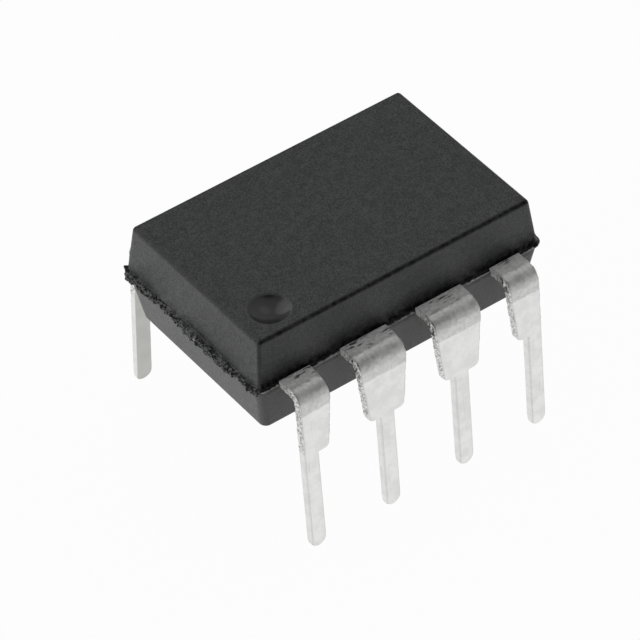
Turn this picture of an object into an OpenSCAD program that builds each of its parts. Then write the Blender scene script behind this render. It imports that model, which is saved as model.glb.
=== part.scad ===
// Eight-lead plastic dual in-line integrated circuit, in millimetres.
// Z = 0 is the seating plane, where the lead shoulders rest on a board. X = Y = 0 is the centre of
// the two rows of leads. Leads 1 to 4 stand along -Y from -X to +X, and 5 to 8 come back along +Y.

/* [Moulded body] */
// Length of the body at the parting line
body_len = 9.43; // [9.1:0.01:10.1]
// Width of the body at the parting line
body_wid = 6.21; // [6:0.01:6.5]
// Height of the upper half, above the lead frame
upper_h = 1.525; // [1.3:0.005:1.8]
// Height of the lower half, below the lead frame
lower_h = 1.525; // [1.3:0.005:1.8]
// Gap between the body's underside and the board
standoff = 0.38; // [0.2:0.01:0.8]
// Draft of the upper half's walls, in degrees
upper_draft = 6.3; // [3:0.1:9]
// Draft of the lower half's walls, in degrees
lower_draft = 9.5; // [3:0.1:12]
// Rounding round the top and the underside
edge_r = 0.14; // [0.05:0.01:0.2]
// Rounding of the upper half's four upright corners
upper_corner_r = 0.2; // [0.1:0.01:0.4]
// Rounding of the lower half's four upright corners
lower_corner_r = 0.34; // [0.1:0.01:0.5]
// Depth that the resin between the leads lies behind the two halves
web_in = 0.04; // [0.01:0.01:0.1]

/* [Marks in the body] */
// Diameter of the round dish beside lead 1
dimple_d = 1.2; // [0.8:0.01:1.6]
// Depth of the dish at its middle
dimple_depth = 0.2; // [0.1:0.01:0.4]
// Distance from the top's end edge to the dish's centre
dimple_from_end = 1.02; // [0.9:0.01:1.6]
// Distance from the top's long edge to the dish's centre
dimple_from_side = 0.94; // [0.9:0.01:1.6]
// Diameter of the two ejector marks in the underside
ejector_d = 1.6; // [1:0.05:2]
// Depth of the ejector marks
ejector_depth = 0.06; // [0.02:0.01:0.15]
// Distance between the centres of the ejector marks
ejector_gap = 5.2; // [4:0.1:6]

/* [Flash at the short ends] */
// Furthest reach of the flash beyond the end wall
flash_out = 0.19; // [0.05:0.01:0.3]
// Thickness of the flash, shared evenly about the lead frame
flash_t = 0.31; // [0.26:0.01:0.5]
// Distance from the end of the flash to the body's corner
flash_stop = 0.22; // [0.1:0.01:0.6]

/* [Leads] */
// Distance between neighbouring leads
pitch = 2.54; // [2.5:0.01:2.6]
// Width over the outer faces of the leads at the seating plane
row_w = 8.2; // [8:0.01:8.6]
// Angle by which the tails lean outwards, in degrees
splay = 3.4; // [0.5:0.1:8]
// Thickness of the stamped strip
frame_t = 0.25; // [0.2:0.01:0.3]
// Inner radius of the bend below the flat
bend_r = 0.25; // [0.15:0.01:0.35]
// Width of a middle lead's shoulder where it leaves the body
shoulder_w = 1.54; // [1.3:0.01:1.7]
// Width of a middle lead's shoulder at the seating plane
ledge_w = 1.19; // [1:0.01:1.3]
// Rounding of the shoulder's lower corners
ledge_r = 0.14; // [0.05:0.01:0.2]
// Fillet between the ledge and the tail
tail_fillet = 0.07; // [0.02:0.01:0.1]
// Width of the tail
tail_w = 0.49; // [0.38:0.01:0.56]
// Length of the tail below the seating plane
tail_len = 3.36; // [2.9:0.01:3.8]
// Rounding of the tail's two end corners
tip_r = 0.22; // [0.05:0.01:0.24]
// Thickness of the tail's tip
tip_t = 0.13; // [0.08:0.01:0.2]
// Length over which the tail thins to its tip
tip_taper = 0.35; // [0.1:0.01:0.6]

/* [Lead frame inside the body] */
// Length of the die pad
pad_len = 3.2; // [2.6:0.05:3.6]
// Width of the die pad
pad_wid = 2.3; // [2:0.05:2.6]
// Depth that the die pad is pressed below the leads
pad_drop = 0.2; // [0.1:0.01:0.3]
// Clearance between the pad, the tie bars and the fingers
frame_gap = 0.3; // [0.2:0.01:0.35]
// Width of a tie bar
tie_w = 0.6; // [0.4:0.01:0.8]
// Length of each tie bar's slope down to the pad
tie_slope = 0.35; // [0.2:0.01:0.6]
// Reach of the cut tie bars beyond the end walls
tie_out = 0.08; // [0.02:0.01:0.15]
// Depth that a shoulder keeps its full width inside the body
root_in = 0.45; // [0.3:0.01:0.6]
// Width of the locking neck behind a shoulder
neck_w = 0.75; // [0.5:0.01:0.9]
// Length of the locking neck
neck_len = 0.35; // [0.2:0.01:0.45]
// Width of a middle finger at its tip
finger_w = 1.15; // [0.95:0.01:1.25]

/* [Die and wires] */
// Length of the silicon die
die_len = 1.8; // [1.4:0.05:2.2]
// Width of the silicon die
die_wid = 1.4; // [1:0.05:1.8]
// Thickness of the silicon die
die_t = 0.3; // [0.2:0.01:0.38]
// Thickness of the die attach layer
attach_t = 0.04; // [0.02:0.01:0.08]
// Distance that the die attach shows past the die
attach_rim = 0.08; // [0.02:0.01:0.15]
// Diameter of a bond wire
wire_d = 0.05; // [0.03:0.005:0.06]
// Height of a wire's loop above the line between its two ends
wire_rise = 0.3; // [0.2:0.01:0.4]
// Diameter of the ball that ends a wire and is pressed flat on its seat
bond_d = 0.13; // [0.12:0.01:0.16]
// Height of the ball's centre above its seat
bond_h = 0.04; // [0.035:0.005:0.05]
// Distance from the die's edge to the bonds on it
bond_from_edge = 0.14; // [0.1:0.01:0.2]
// Distance from a finger's tip to the bond on it
bond_from_tip = 0.3; // [0.2:0.01:0.4]

/* [Hidden] */

$fn = 64;
blend_fn = 32;
row_count = 4;
lap = 0.1;
over = 1;

frame_z = standoff + lower_h + frame_t / 2;
frame_top = frame_z + frame_t / 2;
frame_under = frame_z - frame_t / 2;
top_z = frame_top + upper_h;
parting_land = 0.02;
top_len = body_len - 2 * upper_h * tan(upper_draft);
top_wid = body_wid - 2 * upper_h * tan(upper_draft);

// The tail's outer face is a straight line through row_w / 2 at z = 0 that touches the bend.
bend_z = frame_top - bend_r - frame_t;
bend_y = row_w / 2 - (bend_r + frame_t + bend_z * sin(splay)) / cos(splay);
tail_reach = (bend_z + tail_len + (bend_r + frame_t) * sin(splay)) / cos(splay);

end_x = (row_count - 1) / 2 * pitch;
near_x = pitch / 2;
root_y = body_wid / 2 - root_in;
pad_z = frame_under - pad_drop;
pad_gap_y = pad_wid / 2 + frame_gap;
tip_x = pad_len / 2 + frame_gap;
tip_y = tie_w / 2 + frame_gap;

attach_z = pad_z + frame_t;
die_z = attach_z + attach_t;
die_top = die_z + die_t;

resin = "#3a3b3c";
tin = "#cfcfca";
copper = "#b9a58c";
silver_glue = "#a9a9a4";
silicon = "#56606c";
gold = "#d4ad4c";

// Places

function lead_x(n) = pitch * (n <= row_count ? n - (row_count + 1) / 2 : (3 * row_count + 1) / 2 - n);
function is_end(n) = abs(lead_x(n)) > pitch;

// Every lead and wire is drawn at +X +Y and mirrored to its own quarter.
module in_quarter(n) {
    if (n <= row_count && lead_x(n) < 0)
        mirror([1, 0, 0]) mirror([0, 1, 0]) children();
    else if (n <= row_count)
        mirror([0, 1, 0]) children();
    else if (lead_x(n) < 0)
        mirror([1, 0, 0]) children();
    else
        children();
}

// Body

module at_corners(inset) {
    for (sx = [-1, 1], sy = [-1, 1])
        translate([sx * (body_len / 2 - inset), sy * (body_wid / 2 - inset), 0])
            children();
}

// A disc whose upper edge is rounded by a quarter circle
module edge_puck(r) {
    flat_r = max(r - edge_r, 0.001);
    rotate_extrude($fn = blend_fn)
        polygon([
            [0, 0],
            for (a = [0 : 360 / blend_fn : 90]) [flat_r + edge_r * cos(a), edge_r * sin(a)],
            [0, edge_r]
        ]);
}

// One half of the moulding, standing on its parting face
module body_half(height, draft, corner_r) {
    rounding_z = height - edge_r;
    hull() {
        at_corners(corner_r)
            cylinder(h = parting_land, r = corner_r, $fn = blend_fn);
        at_corners(corner_r + rounding_z * tan(draft))
            translate([0, 0, rounding_z])
                edge_puck(corner_r);
    }
}

// The resin between the two halves, as thick as the lead frame
module web() {
    web_len = body_len - 2 * web_in;
    web_wid = body_wid - 2 * web_in;
    translate([0, 0, frame_under])
        linear_extrude(frame_t) {
            square([web_len - 2 * upper_corner_r, web_wid], center = true);
            square([web_len, web_wid - 2 * upper_corner_r], center = true);
            for (sx = [-1, 1], sy = [-1, 1])
                translate([sx * (web_len / 2 - upper_corner_r), sy * (web_wid / 2 - upper_corner_r)])
                    circle(upper_corner_r);
        }
}

// A broken edge: a share of flash_out that wanders along the rib
function ragged(s, seed) = 0.68 + 0.2 * sin(700 * s + seed) + 0.12 * sin(1900 * s + 2 * seed);

// One rib of flash, from the tie bar to near the body's corner
module flash_rib(seed) {
    steps = 14;
    from_y = tie_w / 2;
    to_y = body_wid / 2 - flash_stop;
    translate([0, 0, frame_z - flash_t / 2])
        linear_extrude(flash_t)
            polygon([
                [body_len / 2 - lap, to_y],
                [body_len / 2 - lap, from_y],
                for (i = [0 : steps])
                    [body_len / 2 + flash_out * ragged(i / steps, seed), from_y + (to_y - from_y) * i / steps]
            ]);
}

module flash() {
    flash_rib(20);
    mirror([0, 1, 0]) flash_rib(115);
    mirror([1, 0, 0]) flash_rib(200);
    mirror([1, 0, 0]) mirror([0, 1, 0]) flash_rib(310);
}

// The round dish, cut by a ball that stands in the top face
module dimple() {
    ball_r = (dimple_d * dimple_d / 4 + dimple_depth * dimple_depth) / (2 * dimple_depth);
    translate([
        -top_len / 2 + dimple_from_end,
        -top_wid / 2 + dimple_from_side,
        top_z - dimple_depth + ball_r
    ])
        sphere(ball_r);
}

module ejector_marks() {
    for (sx = [-1, 1])
        translate([sx * ejector_gap / 2, 0, standoff - over])
            cylinder(h = ejector_depth + over, d = ejector_d);
}

module body() {
    color(resin)
        difference() {
            union() {
                translate([0, 0, frame_top])
                    body_half(upper_h, upper_draft, upper_corner_r);
                translate([0, 0, frame_under])
                    mirror([0, 0, 1])
                        body_half(lower_h, lower_draft, lower_corner_r);
                web();
                flash();
            }
            dimple();
            ejector_marks();
            die_pad();
            die_attach();
            die();
            for (n = [1 : 2 * row_count]) {
                lead(n);
                wire(n);
            }
        }
}

// Leads

// The bent strip seen along X: its flat, its bend and its leaning tail, which thins to its tip
module strip_profile() {
    outer_r = bend_r + frame_t;
    tip_in = (frame_t - tip_t) / 2;
    thinning = tail_reach - tip_taper;
    translate([root_y, frame_under])
        square([bend_y - root_y, frame_t]);
    translate([bend_y, bend_z]) {
        intersection() {
            difference() {
                circle(outer_r);
                circle(bend_r);
            }
            polygon([
                [0, 0],
                2 * outer_r * [cos(splay), sin(splay)],
                2 * outer_r * [1, 1],
                2 * outer_r * [0, 1]
            ]);
        }
        rotate(splay)
            polygon([
                [bend_r, 0],
                [bend_r, -thinning],
                [bend_r + tip_in, -tail_reach],
                [outer_r - tip_in, -tail_reach],
                [outer_r, -thinning],
                [outer_r, 0]
            ]);
    }
}

// Half of a shoulder seen along Y, from the lead's centre line outwards
module shoulder_half() {
    taper = atan((shoulder_w - ledge_w) / 2 / bend_z);
    corner_x = ledge_w / 2 - ledge_r * (1 - sin(taper)) / cos(taper);
    polygon([
        [0, 0],
        [corner_x, 0],
        [corner_x + ledge_r * cos(taper), ledge_r * (1 - sin(taper))],
        [shoulder_w / 2, bend_z],
        [shoulder_w / 2, frame_top + over],
        [0, frame_top + over]
    ]);
    translate([corner_x, ledge_r])
        circle(ledge_r);
    translate([tail_w / 2, -tail_fillet])
        difference() {
            square(tail_fillet);
            translate([tail_fillet, 0])
                circle(tail_fillet);
        }
}

module tail_outline() {
    tip_x = tail_w / 2 - tip_r;
    translate([-tail_w / 2, tip_r - tail_len])
        square([tail_w, tail_len - tip_r + frame_top + over]);
    translate([-tip_x, -tail_len])
        square([2 * tip_x, 2 * tip_r]);
    for (sx = [-1, 1])
        translate([sx * tip_x, tip_r - tail_len])
            circle(tip_r);
}

// The stamped outline seen along Y: an end lead has a shoulder on its inner side only
module lead_outline(end) {
    tail_outline();
    mirror([1, 0])
        shoulder_half();
    if (!end)
        shoulder_half();
}

// The finger of a middle lead: a locking neck, then a wide tip that faces the pad
module near_finger() {
    neck_y = root_y - neck_len;
    polygon([
        [-neck_w / 2, root_y + lap],
        [-neck_w / 2, neck_y],
        [-finger_w / 2, neck_y],
        [-finger_w / 2, pad_gap_y],
        [finger_w / 2, pad_gap_y],
        [finger_w / 2, neck_y],
        [neck_w / 2, neck_y],
        [neck_w / 2, root_y + lap]
    ]);
}

// The finger of an end lead: a neck, then an arm that turns in beside the pad's end
module end_finger() {
    inner_x = end_x - shoulder_w / 2;
    outer_x = inner_x + neck_w;
    arm_w = pad_wid / 2 - tip_y;
    polygon([
        [inner_x, root_y + lap],
        [inner_x, pad_wid / 2 + arm_w],
        [inner_x - arm_w, pad_wid / 2],
        [tip_x, pad_wid / 2],
        [tip_x, tip_y],
        [outer_x - arm_w, tip_y],
        [outer_x, tip_y + arm_w],
        [outer_x, root_y + lap]
    ]);
}

module lead(n) {
    end = is_end(n);
    x = end ? end_x : near_x;
    color(tin)
        in_quarter(n) {
            intersection() {
                translate([x - over, 0, 0])
                    rotate([90, 0, 90])
                        linear_extrude(2 * over)
                            strip_profile();
                translate([x, row_w, 0])
                    rotate([90, 0, 0])
                        linear_extrude(row_w)
                            lead_outline(end);
            }
            translate([0, 0, frame_under])
                linear_extrude(frame_t) {
                    if (end)
                        end_finger();
                    else
                        translate([near_x, 0])
                            near_finger();
                }
        }
}

// Pad, die and wires

// A tie bar seen along Y: level with the leads at the wall, then sloping down to the pad
module tie_profile() {
    wall_x = body_len / 2 + tie_out;
    slope_x = pad_len / 2 + tie_slope;
    polygon([
        [pad_len / 2 - lap, pad_z],
        [pad_len / 2, pad_z],
        [slope_x, frame_under],
        [wall_x, frame_under],
        [wall_x, frame_top],
        [slope_x, frame_top],
        [pad_len / 2, pad_z + frame_t],
        [pad_len / 2 - lap, pad_z + frame_t]
    ]);
}

module tie_bar() {
    translate([0, tie_w / 2, 0])
        rotate([90, 0, 0])
            linear_extrude(tie_w)
                tie_profile();
}

module die_pad() {
    color(copper) {
        translate([-pad_len / 2, -pad_wid / 2, pad_z])
            cube([pad_len, pad_wid, frame_t]);
        tie_bar();
        mirror([1, 0, 0])
            tie_bar();
    }
}

module die_attach() {
    length = die_len + 2 * attach_rim;
    width = die_wid + 2 * attach_rim;
    color(silver_glue)
        translate([-length / 2, -width / 2, attach_z])
            cube([length, width, attach_t]);
}

module die() {
    color(silicon)
        translate([-die_len / 2, -die_wid / 2, die_z])
            cube([die_len, die_wid, die_t]);
}

// A ball bond: a sphere pressed flat on what it is bonded to
module bond() {
    difference() {
        translate([0, 0, bond_h])
            sphere(d = bond_d, $fn = blend_fn);
        translate([0, 0, -bond_d / 2])
            cube(bond_d, center = true);
    }
}

// A loop of wire on one arc between the centres of two bonds
module wire_loop(from, to) {
    start = from + [0, 0, bond_h];
    span = to - from;
    chord = norm(span);
    heading = atan2(span.y, span.x);
    fall = atan2(-span.z, norm([span.x, span.y]));
    loop_r = (chord * chord / 4 + wire_rise * wire_rise) / (2 * wire_rise);
    sweep = 2 * asin(chord / 2 / loop_r);
    translate(start)
        rotate([0, fall, heading])
            translate([chord / 2, 0, wire_rise - loop_r])
                rotate([90, 0, 0])
                    rotate([0, 0, 90 - sweep / 2])
                        rotate_extrude(angle = sweep)
                            translate([loop_r, 0])
                                circle(d = wire_d, $fn = blend_fn);
    for (place = [from, to])
        translate(place)
            bond();
}

module wire(n) {
    die_y = die_wid / 2 - bond_from_edge;
    die_x = die_len / 2 - bond_from_edge;
    color(gold)
        in_quarter(n) {
            if (is_end(n))
                wire_loop(
                    [die_x, die_y / 2, die_top],
                    [tip_x + bond_from_tip, (tip_y + pad_wid / 2) / 2, frame_top]
                );
            else
                wire_loop(
                    [die_x / 2, die_y, die_top],
                    [near_x, pad_gap_y + bond_from_tip, frame_top]
                );
        }
}

body();
lead(1);  // lead_1
lead(2);  // lead_2
lead(3);  // lead_3
lead(4);  // lead_4
lead(5);  // lead_5
lead(6);  // lead_6
lead(7);  // lead_7
lead(8);  // lead_8
die_pad();
die_attach();
die();
wire(1);  // wire_1
wire(2);  // wire_2
wire(3);  // wire_3
wire(4);  // wire_4
wire(5);  // wire_5
wire(6);  // wire_6
wire(7);  // wire_7
wire(8);  // wire_8
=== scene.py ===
import math

import bmesh
import bpy
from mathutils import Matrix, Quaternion, Vector, noise


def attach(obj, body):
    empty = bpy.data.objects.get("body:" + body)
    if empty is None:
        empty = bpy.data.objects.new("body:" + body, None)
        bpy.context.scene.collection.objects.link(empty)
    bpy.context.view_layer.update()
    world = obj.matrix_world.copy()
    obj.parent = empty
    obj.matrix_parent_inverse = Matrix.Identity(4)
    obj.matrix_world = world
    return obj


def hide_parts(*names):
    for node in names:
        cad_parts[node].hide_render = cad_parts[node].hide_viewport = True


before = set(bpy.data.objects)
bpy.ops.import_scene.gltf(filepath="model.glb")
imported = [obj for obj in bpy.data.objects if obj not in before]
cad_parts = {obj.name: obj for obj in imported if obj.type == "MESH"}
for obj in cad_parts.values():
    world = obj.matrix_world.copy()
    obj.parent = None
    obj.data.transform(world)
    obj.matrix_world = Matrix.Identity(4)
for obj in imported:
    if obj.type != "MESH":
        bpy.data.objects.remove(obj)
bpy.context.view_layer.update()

# Sizes are in millimetres up to the last step of each piece, which brings its mesh to metres.
mm = 0.001

# What the body and the leads share. Z = 0 is the seating plane.
chip = {
    "frameTop": 2.155,       # upper side of the lead frame
    "frameUnder": 1.905,
    "frameT": 0.25,
    "pitch": 2.54,
    "perRow": 4,             # leads in each row
    "tipZ": -3.36,           # lead tips, which stand on the floor
    "bodyLength": 9.43,
    "bodyWidth": 6.21,
}


def clamp(value, low=0.0, high=1.0):
    return max(low, min(high, value))


def smoothStep(low, high, value):
    t = clamp((value - low) / (high - low))
    return t * t * (3 - 2 * t)


def lerp(a, b, t):
    return a + (b - a) * t


# Smooth noise from about -1 to 1, whose bumps are about as wide as size
def wander(x, y, z, size, seed):
    return noise.noise(Vector((x / size + 17.3 * seed, y / size - 9.1 * seed, z / size + 4.7 * seed)))


# Layers of that noise added to a value, each with a strength, the width of its bumps and a seed
def layered(value, layers, x, y, z, seed=0):
    return sum((strength * wander(x, y, z, size, seed + own) for strength, size, own in layers), value)


# Stretches round a rectangle with rounded corners, with the same count at every size
def outlineStops(longCount, shortCount, cornerCount):
    stops = []
    for turn in range(4):
        straight = (longCount, shortCount)[turn % 2]
        stops += [(turn, i / straight, 0.0) for i in range(straight)]
        stops += [(turn, 1.0, i / cornerCount) for i in range(cornerCount)]
    return stops


# The place of one stop, and the way out of the outline there. The two upper corners may differ.
def outlineAt(stop, halfX, halfY, radius, upperRadius=None):
    turn, along, rounding = stop
    angle = math.radians(90 * (turn - 1 + rounding))
    out = Vector((math.cos(angle), math.sin(angle)))
    corners = ((-1, -1), (1, -1), (1, 1), (-1, 1))
    ends = []
    for across, up in (corners[turn], corners[(turn + 1) % 4]):
        r = radius if up < 0 or upperRadius is None else upperRadius
        ends.append(Vector((across * (halfX - r), up * (halfY - r))) + out * r)
    return ends[0].lerp(ends[1], along), out


# A ring is drawn, then extruded from place to place, and each new ring is moved to where it belongs.
def loftRings(bm, count, ringPlaces):
    ring = bmesh.ops.create_circle(bm, segments=count, radius=1.0)["verts"]
    ring = sorted(ring, key=lambda v: v.index)
    rings = []
    for places in ringPlaces:
        if rings:
            edges = [e for v in ring for e in v.link_edges if e.other_vert(v) in ringSet]
            grown = bmesh.ops.extrude_edge_only(bm, edges=list(dict.fromkeys(edges)))["geom"]
            fresh = {g for g in grown if isinstance(g, bmesh.types.BMVert)}
            ring = [next(e.other_vert(v) for e in v.link_edges if e.other_vert(v) in fresh) for v in ring]
        ringSet = set(ring)
        for v, place in zip(ring, places):
            v.co = place
        rings.append(ring)
    return rings


def ringEdges(ring):
    inRing = set(ring)
    return list(dict.fromkeys(e for v in ring for e in v.link_edges if e.other_vert(v) in inRing))


# Turns a finished bmesh into an object at the origin, in metres, riding on the one body
def finishPiece(bm, name, nodeName, materials):
    bmesh.ops.scale(bm, vec=(mm, mm, mm), verts=bm.verts)
    mesh = bpy.data.meshes.new(name)
    bm.to_mesh(mesh)
    bm.free()
    piece = bpy.data.objects.new(name, mesh)
    bpy.context.scene.collection.objects.link(piece)
    for material in materials:
        mesh.materials.append(material)
    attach(piece, "root")
    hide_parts(nodeName)


def addNode(tree, kind, settings=None, inputs=None):
    made = tree.nodes.new(kind)
    for key, value in (settings or {}).items():
        setattr(made, key, value)
    for key, value in (inputs or {}).items():
        made.inputs[key].default_value = value
    return made


def link(tree, fromNode, output, toNode, socket):
    tree.links.new(fromNode.outputs[output], toNode.inputs[socket])


def newGroup(name, ins, outs):
    group = bpy.data.node_groups.new(name, "ShaderNodeTree")
    for label, kind, value in ins:
        made = group.interface.new_socket(label, in_out="INPUT", socket_type=kind)
        if value is not None:
            made.default_value = value
    for label, kind in outs:
        group.interface.new_socket(label, in_out="OUTPUT", socket_type=kind)
    start = group.nodes.new("NodeGroupInput")
    end = group.nodes.new("NodeGroupOutput")
    return group, start, end


def placeGroup(tree, group, **values):
    made = tree.nodes.new("ShaderNodeGroup")
    made.node_tree = group
    for label, value in values.items():
        made.inputs[label].default_value = value
    return made


def newMaterial(name, settings):
    material = bpy.data.materials.new(name)
    material.use_nodes = True
    tree = material.node_tree
    shader = tree.nodes["Principled BSDF"]
    for key, value in settings.items():
        shader.inputs[key].default_value = value
    return material, tree, shader


# Two colours mixed by a mask. Each is a plain colour or another node's output.
def mixColours(tree, mask, first, second):
    made = addNode(tree, "ShaderNodeMix", {"data_type": "RGBA"})
    for socket, value in ((0, mask), (6, first), (7, second)):
        if isinstance(value, tuple):
            made.inputs[socket].default_value = (*value, 1.0)
        else:
            tree.links.new(value, made.inputs[socket])
    return made.outputs[2]


# One shader laid over another by a share, and shown
def showMixed(tree, share, under, over, out):
    mixed = addNode(tree, "ShaderNodeMixShader")
    tree.links.new(share, mixed.inputs[0])
    link(tree, under, 0, mixed, 1)
    link(tree, over, 0, mixed, 2)
    link(tree, mixed, 0, out, "Surface")


# A mask or place that a piece carries on its vertices
def readMask(tree, name):
    return addNode(tree, "ShaderNodeAttribute", {"attribute_name": name})


# Lays a texture or a shared group on the piece's own coordinates
def onPiece(tree, made):
    link(tree, addNode(tree, "ShaderNodeTexCoord"), "Object", made, "Vector")
    return made


def addRelief(tree, shader, heights, output, distance, strength):
    bump = addNode(tree, "ShaderNodeBump", None, {"Distance": distance, "Strength": strength})
    link(tree, heights, output, bump, "Height")
    link(tree, bump, 0, shader, "Normal")
    return bump


# A mask spread from one range to another
def ranged(tree, fromNode, output, low, high, toLow=0.0, toHigh=1.0):
    made = addNode(tree, "ShaderNodeMapRange", {"interpolation_type": "SMOOTHSTEP"}, {
        "From Min": low, "From Max": high, "To Min": toLow, "To Max": toHigh})
    link(tree, fromNode, output, made, "Value")
    return made


def combine(tree, operation, a, b):
    made = addNode(tree, "ShaderNodeMath", {"operation": operation})
    for socket, value in ((0, a), (1, b)):
        if isinstance(value, (int, float)):
            made.inputs[socket].default_value = value
        else:
            tree.links.new(value, made.inputs[socket])
    return made.outputs[0]


# Fine grain in two sizes, for mouldings, paste and wire. All sizes in materials are per metre.
def buildGrain():
    group, start, end = newGroup("fineGrain", [
        ("Vector", "NodeSocketVector", None), ("Fine", "NodeSocketFloat", 12000.0),
        ("Coarse", "NodeSocketFloat", 1500.0), ("Share", "NodeSocketFloat", 0.5)],
        [("Height", "NodeSocketFloat"), ("Tone", "NodeSocketFloat")])
    fine = addNode(group, "ShaderNodeTexNoise", None, {"Detail": 2.0, "Roughness": 0.6})
    coarse = addNode(group, "ShaderNodeTexNoise", None, {"Detail": 4.0, "Roughness": 0.6})
    blend = addNode(group, "ShaderNodeMix")
    for made, label in ((fine, "Fine"), (coarse, "Coarse")):
        link(group, start, "Vector", made, "Vector")
        link(group, start, label, made, "Scale")
    link(group, start, "Share", blend, 0)
    link(group, fine, 0, blend, 2)
    link(group, coarse, 0, blend, 3)
    link(group, fine, 0, end, "Height")
    link(group, blend, 0, end, "Tone")
    return group


# Thin streaks along one axis, laid in patches, for rolled and rubbed metal
def buildStreaks():
    group, start, end = newGroup("metalStreaks", [
        ("Vector", "NodeSocketVector", None), ("Across", "NodeSocketFloat", 30000.0),
        ("Along", "NodeSocketFloat", 1200.0), ("Patch", "NodeSocketFloat", 1500.0),
        ("Low", "NodeSocketFloat", 0.52), ("High", "NodeSocketFloat", 0.72)],
        [("Mask", "NodeSocketFloat"), ("Height", "NodeSocketFloat")])
    split = addNode(group, "ShaderNodeSeparateXYZ")
    join = addNode(group, "ShaderNodeCombineXYZ")
    link(group, start, "Vector", split, 0)
    for axis, label in ((0, "Across"), (1, "Along"), (2, "Across")):
        scaled = combine(group, "MULTIPLY", split.outputs[axis], start.outputs[label])
        group.links.new(scaled, join.inputs[axis])
    streak = addNode(group, "ShaderNodeTexNoise", None, {"Scale": 1.0, "Detail": 3.0, "Roughness": 0.65})
    link(group, join, 0, streak, "Vector")
    patch = addNode(group, "ShaderNodeTexNoise", None, {"Detail": 2.0})
    link(group, start, "Vector", patch, "Vector")
    link(group, start, "Patch", patch, "Scale")
    lines = addNode(group, "ShaderNodeMapRange", {"interpolation_type": "SMOOTHSTEP"})
    link(group, streak, 0, lines, "Value")
    link(group, start, "Low", lines, "From Min")
    link(group, start, "High", lines, "From Max")
    patches = ranged(group, patch, 0, 0.40, 0.58)
    masked = combine(group, "MULTIPLY", lines.outputs[0], patches.outputs[0])
    group.links.new(masked, end.inputs["Mask"])
    link(group, streak, 0, end, "Height")
    return group


# Painted dark shade lines and light highlight lines along edges: the piece's own mask of where its edges
# are, broken up by noise
def buildPaintedEdgeShading():
    group, start, end = newGroup("paintedEdgeShading", [
        ("Vector", "NodeSocketVector", None), ("Edge", "NodeSocketFloat", 0.0),
        ("Breakup", "NodeSocketFloat", 9000.0)],
        [("Mask", "NodeSocketFloat")])
    broken = addNode(group, "ShaderNodeTexNoise", None, {"Detail": 3.0})
    link(group, start, "Vector", broken, "Vector")
    link(group, start, "Breakup", broken, "Scale")
    spots = ranged(group, broken, 0, 0.3, 0.6, 0.35, 1.0)
    edgeShading = combine(group, "MULTIPLY", start.outputs["Edge"], spots.outputs[0])
    group.links.new(edgeShading, end.inputs["Mask"])
    return group


fineGrain = buildGrain()
metalStreaks = buildStreaks()
paintedEdgeShading = buildPaintedEdgeShading()
print("shared node groups made")


view = {
    "place": (-53.508, -76.299, 87.680),       # mm
    "back": (-0.41489, -0.59729, 0.68638),     # from the object to the camera
    "roll": -2.535,                            # degrees
    "lens": 260.34,
    "sensor": 36.0,
    "clip": (0.005, 5.0),                      # metres
}


def makeCamera():
    data = bpy.data.cameras.new("camera")
    camera = bpy.data.objects.new("camera", data)
    bpy.context.scene.collection.objects.link(camera)
    data.sensor_width = view["sensor"]
    data.lens = view["lens"]
    data.clip_start, data.clip_end = view["clip"]
    camera.rotation_mode = "QUATERNION"
    aim = Vector(view["back"]).to_track_quat("Z", "Y")
    camera.rotation_quaternion = aim @ Quaternion((0, 0, 1), math.radians(view["roll"]))
    camera.location = Vector(view["place"]) * mm
    bpy.context.scene.camera = camera


# The sky's levels run from the far side of the light, at -1, up to the light itself, at 1. The edges
# of the screen and of the shade are cosines of the angle from their middles.
studio = {
    "floorRadius": 34.0,     # mm
    "floorSides": 96,
    "floorDrop": 0.002,      # how far it lies below the lead tips, in mm
    "floorColour": (0.86, 0.86, 0.86),
    "floorShadow": 0.03,     # how much of the floor's own shading the camera sees
    "floorGloss": 0.12,      # and how much of it mirrors see
    "lightFrom": (0.41, 0.33, 0.85),
    "boxAway": 0.14,         # the soft box's distance, side and power, in metres and watts
    "boxSide": 0.05,
    "boxPower": 0.0008,
    "sky": ((-1.0, 0.6), (-0.25, 0.64), (0.2, 0.56), (0.45, 0.34), (0.62, 0.25), (0.8, 0.48), (0.93, 0.54),
            (0.985, 0.76), (1.0, 0.8)),
    "leftLift": 0.6,         # how much brighter the left is
    "screenFrom": (-0.25, 0.78, 0.57),
    "screenEdge": (0.86, 0.93),
    "cameraShade": 0.95,     # how much light the camera hides
    "shadeEdge": (0.75, 0.92),
}


# White to the camera and in mirrors, and a shaded paper floor for the light itself
def makeFloor():
    bm = bmesh.new()
    bmesh.ops.create_circle(bm, cap_ends=True, segments=studio["floorSides"], radius=studio["floorRadius"])
    bmesh.ops.translate(bm, vec=(0, 0, chip["tipZ"] - studio["floorDrop"]), verts=bm.verts)
    bmesh.ops.scale(bm, vec=(mm, mm, mm), verts=bm.verts)
    mesh = bpy.data.meshes.new("floor")
    bm.to_mesh(mesh)
    bm.free()
    floor = bpy.data.objects.new("floor", mesh)
    bpy.context.scene.collection.objects.link(floor)
    material = bpy.data.materials.new("paper")
    material.use_nodes = True
    tree = material.node_tree
    tree.nodes.clear()
    paper = addNode(tree, "ShaderNodeBsdfDiffuse", None, {"Color": (*studio["floorColour"], 1.0)})
    white = addNode(tree, "ShaderNodeEmission", None, {"Strength": 1.0})
    path = addNode(tree, "ShaderNodeLightPath")
    mirrored = combine(tree, "MAXIMUM", path.outputs["Is Glossy Ray"], path.outputs["Is Transmission Ray"])
    mirrored = combine(tree, "MULTIPLY", mirrored, 1.0 - studio["floorGloss"])
    seen = combine(tree, "MULTIPLY", path.outputs["Is Camera Ray"], 1.0 - studio["floorShadow"])
    share = combine(tree, "MAXIMUM", seen, mirrored)
    showMixed(tree, share, paper, white, addNode(tree, "ShaderNodeOutputMaterial"))
    mesh.materials.append(material)


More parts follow.
